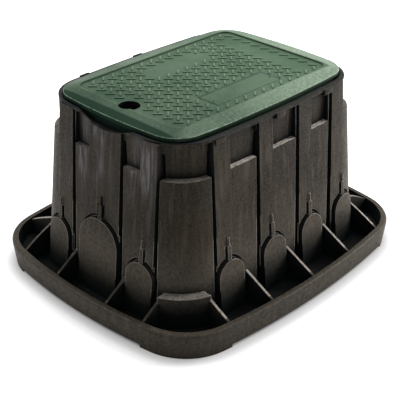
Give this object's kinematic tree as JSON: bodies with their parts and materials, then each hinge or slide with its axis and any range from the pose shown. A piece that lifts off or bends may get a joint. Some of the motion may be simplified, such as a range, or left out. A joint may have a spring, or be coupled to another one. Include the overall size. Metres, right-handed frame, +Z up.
{
  "type": "irrigation valve box",
  "caption": "Rectangular in-ground box with tapered ribbed walls, a wide flange tray at its foot, knock-out pipe openings and a drop-in bolt-down lid.",
  "frame": {"origin": "on the ground under the middle of the box", "axes": "+X along the long sides, -X is the end with the lid's bolt hole, +Y across, +Z up"},
  "size_m": [0.5538, 0.474, 0.305],
  "materials": {
    "box": "fine grain, dull black recycled polyethylene",
    "lid": "dull green polyethylene with a raised tread"
  },
  "bodies": {
    "root": {"box_body": "box", "lid": "lid"}
  },
  "joints": []
}
